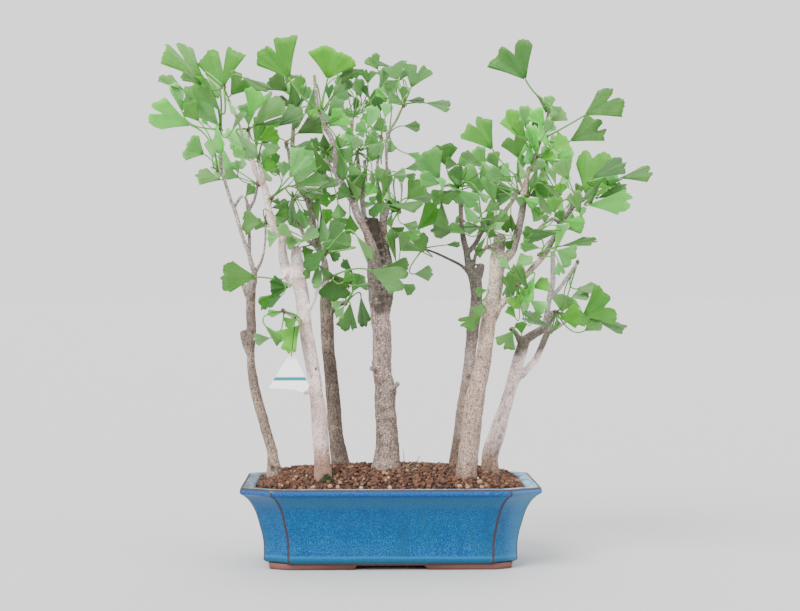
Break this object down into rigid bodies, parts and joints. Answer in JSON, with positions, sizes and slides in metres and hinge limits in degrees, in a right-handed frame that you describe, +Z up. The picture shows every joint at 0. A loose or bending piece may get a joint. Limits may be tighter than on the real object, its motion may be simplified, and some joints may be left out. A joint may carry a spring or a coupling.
{
  "type": "ginkgo bonsai",
  "caption": "Upright forest planting of slim ginkgo trees with pruned trunks and fan-shaped leaves, in a low rectangular glazed pot with cut corners and short feet.",
  "frame": {"origin": "middle of the plant's box in plan, on the surface that the pot's feet stand on", "axes": "+Z up; +X along the pot's length; the viewer's side is -Y"},
  "size_m": [0.5026, 0.2592, 0.531],
  "materials": {
    "glaze": "gloss",
    "soil": "matte",
    "mesh_plastic": "matte",
    "bark": "matte",
    "leaf": "satin",
    "tag_paper": "satin",
    "thread": "matte"
  },
  "bodies": {
    "root": {"pot": "glaze", "soil": "soil", "drain_screen_1": "mesh_plastic", "drain_screen_2": "mesh_plastic", "trunk_1": "bark", "trunk_2": "bark", "trunk_3": "bark", "trunk_4": "bark", "trunk_5": "bark", "trunk_6": "bark", "trunk_7": "bark", "tuft_1_top": "leaf", "tuft_1_left": "leaf", "tuft_1_twig": "leaf", "tuft_1_right": "leaf", "tuft_2_shoot": "leaf", "tuft_2_top": "leaf", "tuft_2_arm": "leaf", "tuft_2_hero": "leaf", "tuft_2_node": "leaf", "tuft_2_crotch": "leaf", "tuft_2_low": "leaf", "tuft_2_front": "leaf", "tuft_2_stub": "leaf", "tuft_3_top": "leaf", "tuft_3_stub": "leaf", "tuft_3_back": "leaf", "tuft_3_fork": "leaf", "tuft_3_right": "leaf", "tuft_4_crown": "leaf", "tuft_4_fork": "leaf", "tuft_4_left": "leaf", "tuft_4_middle": "leaf", "tuft_4_inner": "leaf", "tuft_4_back": "leaf", "tuft_4_node": "leaf", "tuft_4_right": "leaf", "tuft_4_side": "leaf", "tuft_4_spur": "leaf", "tuft_5_twig": "leaf", "tuft_5_top": "leaf", "tuft_5_bend": "leaf", "tuft_5_right": "leaf", "tuft_6_spur": "leaf", "tuft_6_low": "leaf", "tuft_6_back": "leaf", "tuft_6_cut": "leaf", "tuft_6_shoot": "leaf", "tuft_6_tip": "leaf", "tuft_6_high": "leaf", "tuft_6_right": "leaf", "tuft_6_end": "leaf", "tuft_6_side": "leaf", "tuft_6_front": "leaf", "tuft_6_inner": "leaf", "tuft_7_left": "leaf", "tuft_7_high": "leaf", "tuft_7_tip": "leaf", "tag": "tag_paper", "tag_string": "thread"}
  },
  "joints": []
}
